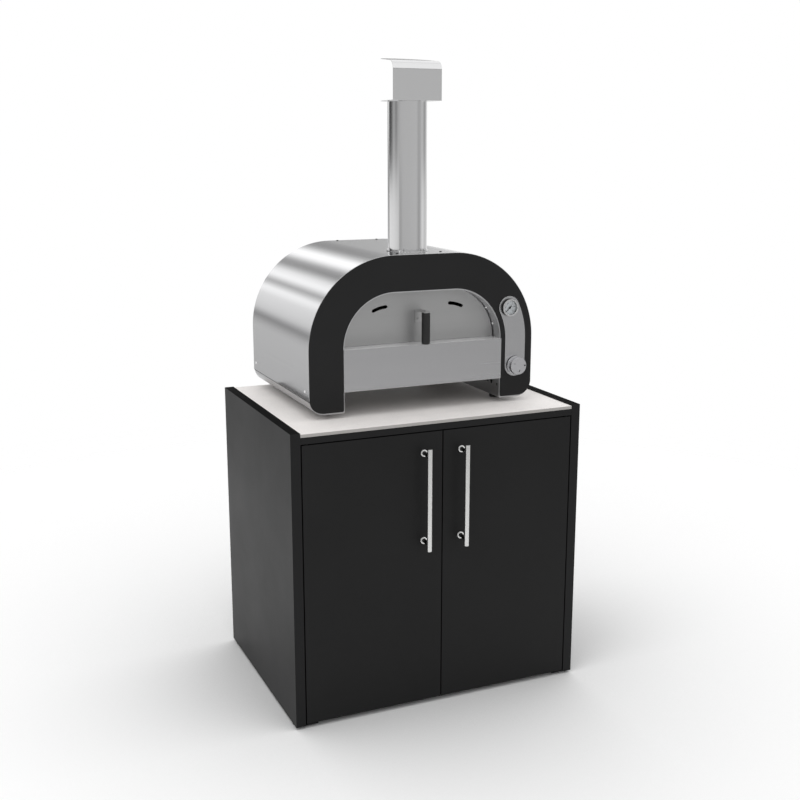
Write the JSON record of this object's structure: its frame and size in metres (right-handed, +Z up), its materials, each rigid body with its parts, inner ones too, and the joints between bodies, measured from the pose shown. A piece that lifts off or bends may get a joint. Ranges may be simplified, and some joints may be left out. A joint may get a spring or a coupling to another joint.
{
  "type": "outdoor pizza oven table",
  "caption": "Two-door cabinet with a stone worktop that carries an arched stainless steel gas pizza oven with a lift-off door, controls and a flue.",
  "frame": {"origin": "middle of the outer box, on the floor under the cabinet's glides", "axes": "+Z up, +Y from the doors to the back, +X to the right seen from the front"},
  "size_m": [0.95, 0.7628, 1.952],
  "materials": {
    "carcass_laminate": "matte charcoal laminate on solid board",
    "door_laminate": "matte black laminate, square edges",
    "worktop_slab": "honed pale grey slab",
    "rubber": "matte black",
    "nylon": "moulded nylon",
    "zinc_steel": "zinc plated",
    "magnet": "nickelled magnet",
    "satin_handle": "fine satin",
    "stainless_shell": "brushed stainless steel",
    "stainless_front": "brushed stainless steel",
    "stainless_chamber": "mill finish, heat tinted",
    "oven_door_steel": "brushed stainless steel, grain across",
    "black_enamel": "heat-proof matte black",
    "blanket": "ceramic fibre blanket",
    "fibre_board": "rigid insulation board",
    "baking_stone": "fired cordierite",
    "burner_steel": "heat tinted stainless steel",
    "probe_ceramic": "fired insulator and steel",
    "brass": "machined",
    "knob_metal": "turned satin face, polished rim",
    "gauge_case": "turned and polished",
    "gauge_dial": "grey satin dial with plain ticks",
    "gauge_needle": "matte black",
    "gauge_glass": "clear",
    "flue_steel": "fine brushed stainless steel",
    "screw_steel": "bright stainless steel",
    "black_grip": "smooth heat-proof plastic"
  },
  "bodies": {
    "cabinet": {"side_panel_left": "carcass_laminate", "side_panel_right": "carcass_laminate", "bottom_panel": "carcass_laminate", "back_panel": "carcass_laminate", "hose_grommet": "rubber", "front_rail": "carcass_laminate", "rear_rail": "carcass_laminate", "corner_brackets": "zinc_steel", "worktop": "worktop_slab", "shelf": "carcass_laminate", "shelf_pins": "zinc_steel", "glides": "nylon", "pivot_plates": "zinc_steel", "top_pivot_pins": "zinc_steel", "magnet_catches": "nylon", "oven_feet": "rubber", "leg_left": "stainless_front", "leg_right": "stainless_front", "floor_tray": "stainless_chamber", "shell": "stainless_shell", "fascia": "black_enamel", "mouth_liner": "stainless_front", "apron": "stainless_front", "oven_back": "stainless_shell", "insulation_arch": "blanket", "insulation_boards": "fibre_board", "vault": "stainless_chamber", "chamber_back": "stainless_chamber", "baking_stones": "baking_stone", "burner": "burner_steel", "flame_probes": "probe_ceramic", "gas_pipes": "brass", "gas_valve": "brass", "gas_inlet": "brass", "control_plate": "stainless_front", "thermometer_case": "gauge_case", "thermometer_dial": "gauge_dial", "thermometer_lens": "gauge_glass", "flue_collar": "flue_steel", "flue_pipe": "flue_steel", "flue_cap": "flue_steel", "oven_screws": "screw_steel"},
    "left_door": {"door_left": "door_laminate", "bushes_left": "nylon", "bar_left": "satin_handle", "posts_left": "satin_handle", "handle_screws_left": "screw_steel", "strike_left": "zinc_steel"},
    "right_door": {"door_right": "door_laminate", "bushes_right": "nylon", "bar_right": "satin_handle", "posts_right": "satin_handle", "handle_screws_right": "screw_steel", "strike_right": "zinc_steel"},
    "baking_door": {"oven_door": "oven_door_steel", "door_bracket": "satin_handle", "door_grip": "black_grip"},
    "stem": {"valve_stem": "zinc_steel"},
    "knob": {"gas_knob": "knob_metal"},
    "needle": {"thermometer_needle": "gauge_needle"}
  },
  "joints": [
    {"name": "left_door_hinge", "type": "hinge", "parent": "cabinet", "child": "left_door", "pos_m": [-0.42729, -0.32312, 0.4], "axis": [0, 0, -1], "range_deg": [0, 110]},
    {"name": "right_door_hinge", "type": "hinge", "parent": "cabinet", "child": "right_door", "pos_m": [0.42729, -0.32312, 0.4], "axis": [0, 0, 1], "range_deg": [0, 110]},
    {"name": "baking_door_slide", "type": "slide", "parent": "cabinet", "child": "baking_door", "axis": [0, -1, 0], "range_m": [0, 0.25]},
    {"name": "knob_turn", "type": "hinge", "parent": "cabinet", "child": "stem", "pos_m": [0.3112, -0.22, 1.023], "axis": [0, -1, 0], "range_deg": [0, 180]},
    {"name": "knob_push", "type": "slide", "parent": "stem", "child": "knob", "axis": [0, 1, 0], "range_m": [0, 0.003], "stiffness_N_per_m": 1500, "springref_m": -0.002},
    {"name": "needle_turn", "type": "hinge", "parent": "cabinet", "child": "needle", "pos_m": [0.28802, -0.208, 1.20556], "axis": [0, 1, 0], "range_deg": [0, 270], "stiffness_Nm_per_rad": 0.001}
  ]
}
